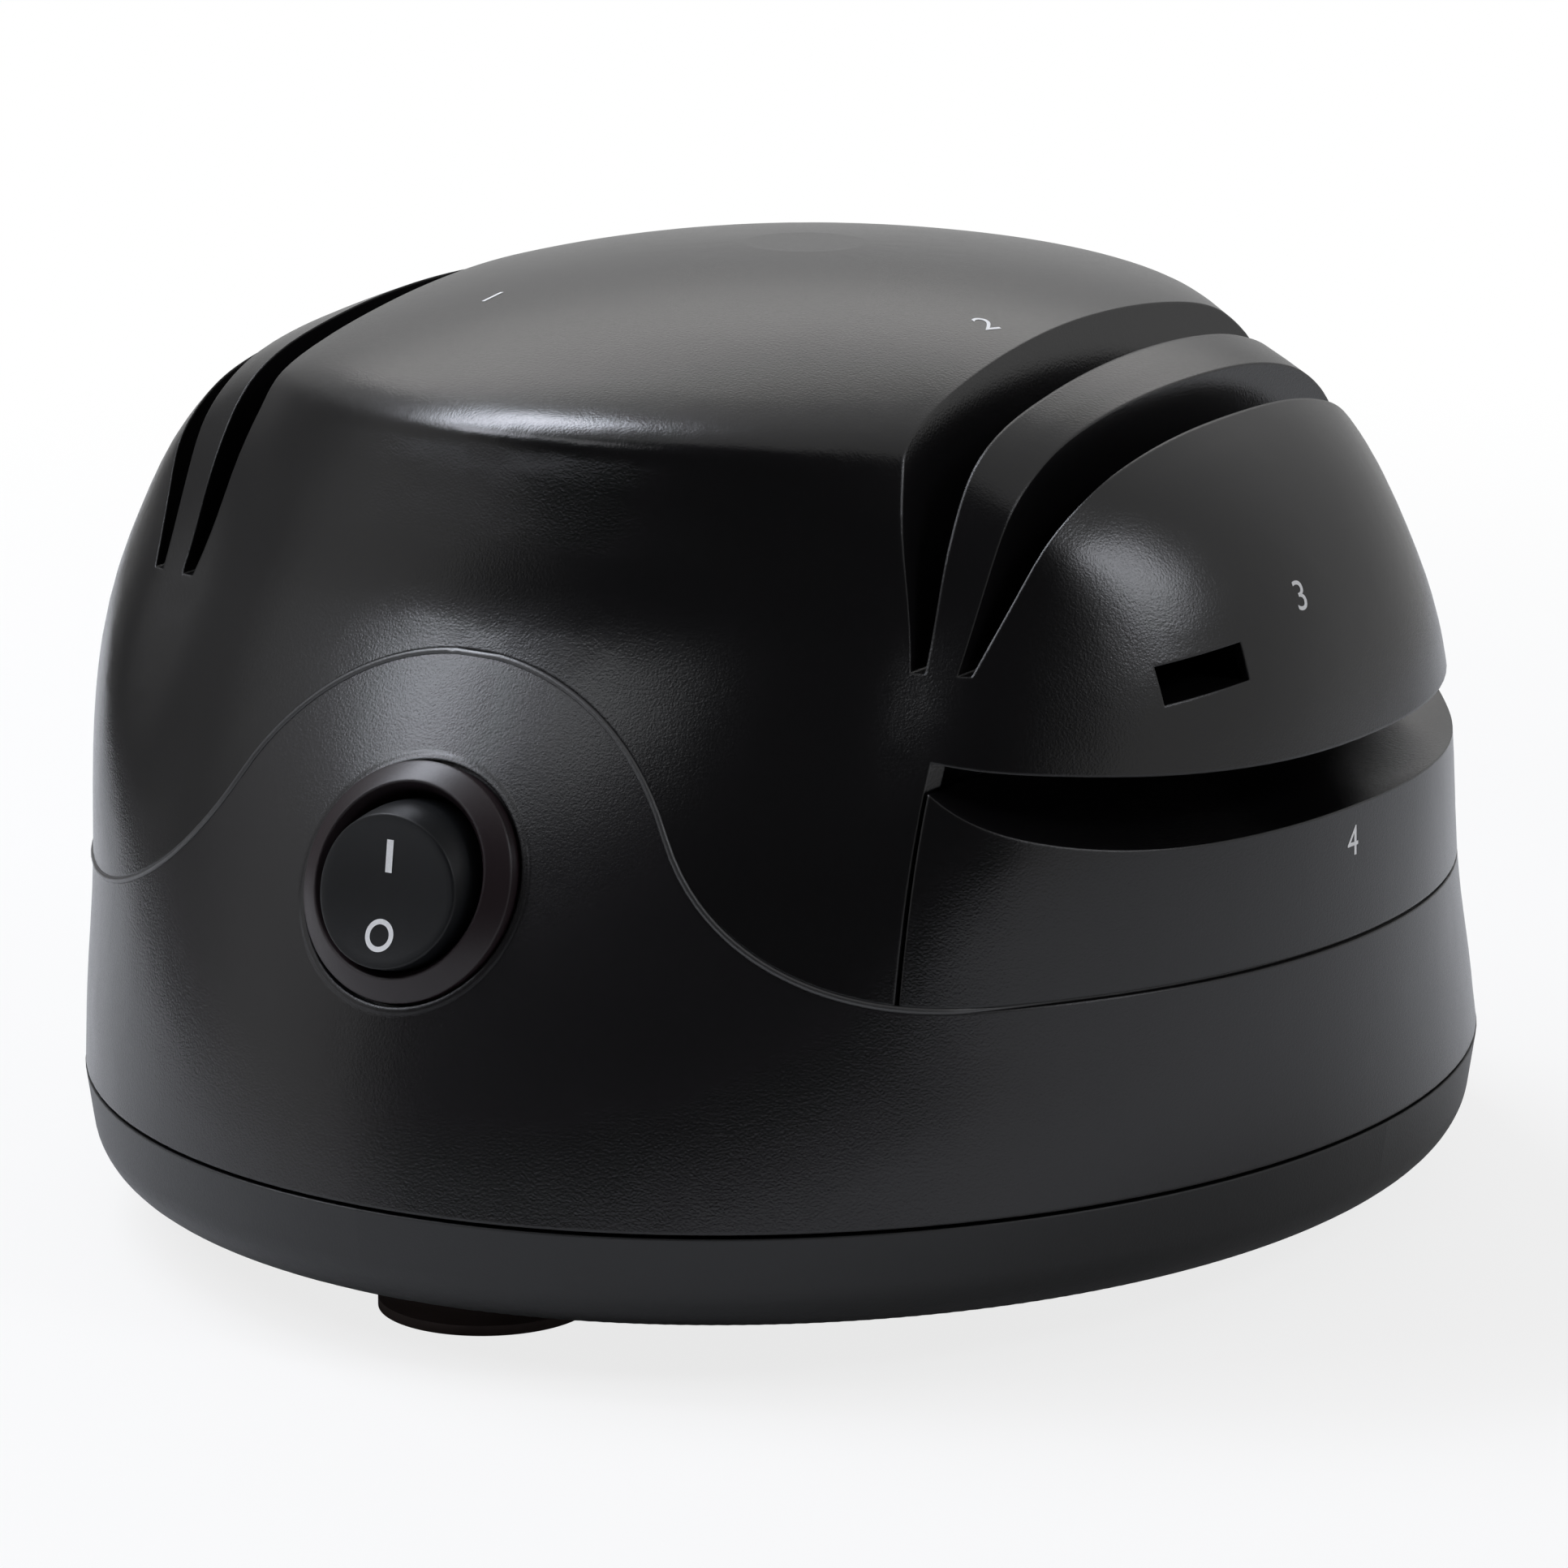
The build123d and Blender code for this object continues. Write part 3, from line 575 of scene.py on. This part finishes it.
def lipTree(finish):
    tree = bpy.data.node_groups.new("lipAlongPath", "GeometryNodeTree")
    for name, kind in (("Path", "Geometry"), ("Radius", "Float"), ("Sides", "Int")):
        tree.interface.new_socket(name, in_out="INPUT", socket_type="NodeSocket" + kind)
    tree.interface.new_socket("Lip", in_out="OUTPUT", socket_type="NodeSocketGeometry")
    kinds = {"given": "NodeGroupInput", "curve": "GeometryNodeMeshToCurve",
             "ring": "GeometryNodeCurvePrimitiveCircle", "sweep": "GeometryNodeCurveToMesh",
             "smooth": "GeometryNodeSetShadeSmooth", "real": "GeometryNodeRealizeInstances",
             "paint": "GeometryNodeSetMaterial", "made": "NodeGroupOutput"}
    step = {name: tree.nodes.new(kind) for name, kind in kinds.items()}
    step["paint"].inputs["Material"].default_value = finish
    links = [("given", "Path", "curve", "Mesh"), ("given", "Radius", "ring", "Radius"),
             ("given", "Sides", "ring", "Resolution"), ("curve", "Curve", "sweep", "Curve"),
             ("ring", "Curve", "sweep", "Profile Curve"), ("sweep", "Mesh", "smooth", "Geometry"),
             ("smooth", "Geometry", "real", "Geometry"), ("real", "Geometry", "paint", "Geometry"),
             ("paint", "Geometry", "made", "Lip")]
    for source, outlet, target, inlet in links:
        tree.links.new(step[source].outputs[outlet], step[target].inputs[inlet])
    return tree


# closed tube along the points, made by the node tree
def sweptMesh(name, points, finish, values):
    line = bpy.data.meshes.new(name + "Path")
    count = len(points)
    line.from_pydata(points, [(step, (step + 1) % count) for step in range(count)], [])
    holder = bpy.data.objects.new(name + "Path", line)
    scene.collection.objects.link(holder)
    modifier = holder.modifiers.new("sweep", "NODES")
    modifier.node_group = lipTree(finish)
    for socket in modifier.node_group.interface.items_tree:
        if socket.in_out == "INPUT" and socket.name in values:
            modifier[socket.identifier] = values[socket.name]
    made = madeMesh(holder)
    holder.modifiers.remove(modifier)
    bpy.data.objects.remove(holder)
    bpy.data.meshes.remove(line)
    mesh = bmesh.new()
    mesh.from_mesh(made)
    bpy.data.meshes.remove(made)
    bmesh.ops.recalc_face_normals(mesh, faces=mesh.faces)
    return mesh


# painted highlight: the lip carries the paler plastic, which paints a bright line along the seam
lipMesh = sweptMesh("seamLip", seamPath(seamLip), lipHighlightFinish,
                    {"Radius": seamLip["radius"] * mm, "Sides": seamLip["sides"]})
addPiece("seamLip", lipMesh, lipHighlightFinish, "housing", seamLip["sharpest"])
print("slot lining and seam lip made")

# marks on the rocker's face
rockerMarks = {
    "lineSize": (0.74 * mm, 3.0 * mm),
    "lineUp": 1.82 * mm,
    "ringRadius": 1.56 * mm,
    "ringStroke": 0.5 * mm,
    "ringUp": -5.55 * mm,
    "ringSteps": 40,
}


def lineMark(mesh):
    wide, tall = rockerMarks["lineSize"]
    middle = rockerMarks["lineUp"]
    corners = [(-wide / 2, middle - tall / 2), (wide / 2, middle - tall / 2),
               (wide / 2, middle + tall / 2), (-wide / 2, middle + tall / 2)]
    mesh.faces.new([mesh.verts.new((x, y, 0)) for x, y in corners])


def ringMark(mesh):
    outer, up = rockerMarks["ringRadius"], rockerMarks["ringUp"]
    skin(mesh, [[(radius * math.cos(a), up + radius * math.sin(a), 0) for a in turns(rockerMarks["ringSteps"])]
                for radius in (outer, outer - rockerMarks["ringStroke"])])


layPrint("rockerLine", lineMark, switchPlane, rockerPiece, "rocker")
layPrint("rockerRing", ringMark, switchPlane, rockerPiece, "rocker")
print("rocker marks laid")

# plain numerals at the stations, turned to whoever stands at each, in mm
stationMarks = {
    "1": {"at": (-19.5, -23.5, 93.5), "right": (-1, 0.12, 0), "out": (0, 0, 1), "on": "upper_cover"},
    "2": {"at": (29.6, -11.5, 91.5), "right": (0.44, 0.9, 0), "out": (0, 0, 1), "on": "upper_cover"},
    "3": {"at": (63.5, -11.5, 68.5), "right": (0.2, 1, 0), "out": (0.85, -0.3, 0.35), "on": "upper_cover"},
    "4": {"at": (67.6, -8.0, 44.6), "right": (0.1, 1, 0), "out": (0.98, -0.15, 0.1), "on": "scissors_guide"},
}
numeralSetup = {"tall": 3.0, "figureShare": 0.72, "resolution": 6, "cuts": 2}


def numeral(text, setup):
    def build(mesh):
        curve = bpy.data.curves.new("numeral" + text, "FONT")
        curve.body = text
        curve.size = setup["tall"] * mm / setup["figureShare"]
        curve.align_x = "CENTER"
        curve.align_y = "CENTER"
        curve.resolution_u = setup["resolution"]
        holder = bpy.data.objects.new("numeral" + text, curve)
        scene.collection.objects.link(holder)
        flat = madeMesh(holder)
        mesh.from_mesh(flat)
        bmesh.ops.triangulate(mesh, faces=mesh.faces)
        bmesh.ops.subdivide_edges(mesh, edges=mesh.edges, cuts=setup["cuts"], use_grid_fill=True)
        bpy.data.objects.remove(holder)
        bpy.data.curves.remove(curve)
        bpy.data.meshes.remove(flat)
    return build


for text, mark in stationMarks.items():
    place = planeAt(Vector(mark["at"]) * mm, mark["right"], mark["out"])
    layPrint("stationNumeral" + text, numeral(text, numeralSetup), place, nodes[mark["on"]], "housing")
print("station numerals laid")

# pale floor that fades to white
floorSetup = {"radius": 0.55, "rim": 96, "colour": (0.74, 0.74, 0.74), "fibre": (0.78, 0.78, 0.78),
              "fibreScale": 30, "fibreDetail": 3.0, "roughness": 0.9, "seenWhite": 0.8, "fadeFrom": 0.16,
              "fadeTo": 0.48}


def layFloor(setup):
    mesh = bpy.data.meshes.new("floor")
    mesh.from_pydata([polar(setup["radius"], a) for a in turns(setup["rim"])], [], [tuple(range(setup["rim"]))])
    floor = bpy.data.objects.new("floor", mesh)
    scene.collection.objects.link(floor)
    shade = Shade(bpy.data.materials.new("floorPaper"))
    fibre = shade.noise(setup["fibreScale"], setup["fibreDetail"])
    shade.surface({
        "Base Color": shade.blend(fibre, rgb(*setup["colour"]), rgb(*setup["fibre"])),
        "Roughness": setup["roughness"],
    })
    seen = shade.add("ShaderNodeLightPath", out="Is Camera Ray")
    white = shade.add("ShaderNodeEmission", None, {"Color": rgb(1, 1, 1), "Strength": 1.0})
    paper = Wire(shade, shade.tree.nodes["Principled BSDF"].outputs[0])
    away = shade.add("ShaderNodeVectorMath", {"operation": "LENGTH"}, {0: shade.where()}, "Value")
    fade = shade.smoothRange(away, setup["fadeFrom"], setup["fadeTo"])
    plain = setup["seenWhite"] + fade * (1 - setup["seenWhite"])
    both = shade.add("ShaderNodeMixShader", None, {0: seen * plain, 1: paper, 2: white})
    shade.plug(shade.tree.nodes["Material Output"].inputs["Surface"], both)
    mesh.materials.append(shade.owner)


layFloor(floorSetup)

# white surroundings, shaded to the left, with a dark corner of the room on the camera's side
worldSetup = {"backdrop": 0.42, "backdropInGloss": 0.56, "shadySide": 0.3, "shadyWay": (-0.9845, 0.1754, 0.0),
              "shadyEdge": 0.766, "shadyFull": 0.985, "darkCorner": 0.036, "darkWay": (0.288, -0.894, 0.342),
              "darkEdge": 0.52, "darkFull": 0.7}


def lightRoom(setup):
    world = bpy.data.worlds.new("studio")
    scene.world = world
    shade = Shade(world)
    path = {name: shade.add("ShaderNodeLightPath", out=name)
            for name in ("Is Camera Ray", "Is Glossy Ray", "Is Transmission Ray")}
    inGloss = path["Is Glossy Ray"] + path["Is Transmission Ray"]
    way = shade.add("ShaderNodeTexCoord", out="Generated")

    def towards(where, start, full):
        facing = shade.add("ShaderNodeVectorMath", {"operation": "DOT_PRODUCT"},
                           {0: way, 1: Vector(where).normalized()}, "Value")
        return shade.smoothRange(facing, start, full)

    dark = towards(setup["darkWay"], setup["darkEdge"], setup["darkFull"])
    shady = towards(setup["shadyWay"], setup["shadyEdge"], setup["shadyFull"])
    pale = setup["backdrop"] + inGloss * (setup["backdropInGloss"] - setup["backdrop"])
    pale = pale * (1 - shady * (1 - setup["shadySide"]))
    level = pale + dark * (setup["darkCorner"] - pale)
    grey = shade.add("ShaderNodeCombineColor", None, {0: level, 1: level, 2: level})
    colour = shade.blend(path["Is Camera Ray"], grey, rgb(1, 1, 1))
    shade.plug(shade.tree.nodes["Background"].inputs["Color"], colour)
    shade.plug(shade.tree.nodes["Background"].inputs["Strength"], 1.0)


lightRoom(worldSetup)

# soft boxes: turn is measured round from the camera's side, to its right
lamps = {
    "key": {"turn": -87, "rise": 42.5, "distance": 0.95, "size": (0.5, 0.24), "roll": -33, "radiance": 6.5,
            "colour": (0.87, 0.905, 1.0)},
    "keyHigh": {"turn": -124, "rise": 58, "distance": 0.95, "size": (0.5, 0.24), "roll": -18, "radiance": 11.0,
                "colour": (0.86, 0.9, 1.0)},
    "right": {"turn": 62, "rise": 37, "distance": 1.0, "size": (0.26, 0.26), "roll": 0, "radiance": 5.6,
              "colour": (0.9, 0.925, 1.0)},
    "rear": {"turn": 178, "rise": 37, "distance": 1.1, "size": (0.9, 0.36), "roll": 0, "radiance": 0.78,
             "colour": (1.0, 0.985, 0.965)},
    "fill": {"turn": -54, "rise": 45, "distance": 1.0, "size": (0.24, 0.2), "roll": 0, "radiance": 1.9,
             "colour": (0.95, 0.97, 1.0)},
}
lampAim = Vector((0, 0, 45 * mm))
# watts that give an area lamp of one square metre a radiance of one
wattsPerRadiance = 4


def hangLamp(name, lamp):
    way = outward(cameraSetup["azimuth"] + lamp["turn"], lamp["rise"])
    data = bpy.data.lights.new(name, "AREA")
    data.shape = "RECTANGLE"
    data.size, data.size_y = lamp["size"]
    data.energy = wattsPerRadiance * lamp["radiance"] * data.size * data.size_y
    data.color = lamp["colour"]
    light = bpy.data.objects.new(name, data)
    facing = (-way).to_track_quat("-Z", "Y").to_matrix() @ Matrix.Rotation(math.radians(lamp["roll"]), 3, "Z")
    light.matrix_world = Matrix.Translation(lampAim + way * lamp["distance"]) @ facing.to_4x4()
    scene.collection.objects.link(light)


for lampName, lamp in lamps.items():
    hangLamp(lampName, lamp)
print("floor, room and", len(lamps), "lamps ready")
